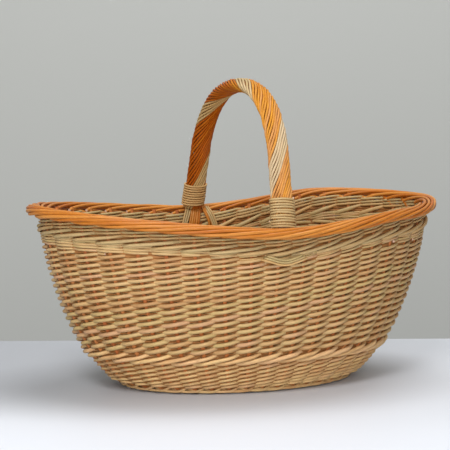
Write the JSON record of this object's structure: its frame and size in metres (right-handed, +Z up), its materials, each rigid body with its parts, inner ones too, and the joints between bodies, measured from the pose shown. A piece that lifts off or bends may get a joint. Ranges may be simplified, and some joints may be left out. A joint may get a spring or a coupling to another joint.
{
  "type": "mushroom basket",
  "caption": "Oval woven willow basket with flared sides, a rolled border that rises to both ends, and one rigid rod-wrapped handle arching across its middle.",
  "frame": {"origin": "middle of the basket's footprint, at the level of the ground it stands on", "axes": "+X along the basket's long side, +Y across it along the handle's arch, +Z up"},
  "size_m": [0.48, 0.32, 0.3382],
  "materials": {
    "pale_willow": "satin peeled willow rods",
    "orange_willow": "satin orange-brown willow rods",
    "stake_willow": "satin brown willow rods"
  },
  "bodies": {
    "root": {"stake_01": "stake_willow", "stake_02": "stake_willow", "stake_03": "stake_willow", "stake_04": "stake_willow", "stake_05": "stake_willow", "stake_06": "stake_willow", "stake_07": "stake_willow", "stake_08": "stake_willow", "stake_09": "stake_willow", "stake_10": "stake_willow", "stake_11": "stake_willow", "stake_12": "stake_willow", "stake_13": "stake_willow", "stake_14": "stake_willow", "stake_15": "stake_willow", "stake_16": "stake_willow", "stake_17": "stake_willow", "stake_18": "stake_willow", "stake_19": "stake_willow", "stake_20": "stake_willow", "stake_21": "stake_willow", "stake_22": "stake_willow", "stake_23": "stake_willow", "stake_24": "stake_willow", "stake_25": "stake_willow", "stake_26": "stake_willow", "stake_27": "stake_willow", "stake_28": "stake_willow", "stake_29": "stake_willow", "stake_30": "stake_willow", "stake_31": "stake_willow", "stake_32": "stake_willow", "stake_33": "stake_willow", "stake_34": "stake_willow", "stake_35": "stake_willow", "stake_36": "stake_willow", "stake_37": "stake_willow", "stake_38": "stake_willow", "base_long_stick_1": "stake_willow", "base_long_stick_2": "stake_willow", "base_long_stick_3": "stake_willow", "base_short_sticks": "stake_willow", "base_weave": "pale_willow", "foot_wale": "orange_willow", "lower_wale": "pale_willow", "upsett_wale": "pale_willow", "side_randing": "pale_willow", "left_packing": "pale_willow", "right_packing": "pale_willow", "top_wale": "orange_willow", "rolled_border": "orange_willow", "handle_bow": "stake_willow", "handle_wrapping": "orange_willow", "near_leg_binding": "pale_willow", "far_leg_binding": "pale_willow", "near_wrapping_tails": "pale_willow", "far_wrapping_tails": "pale_willow"}
  },
  "joints": []
}
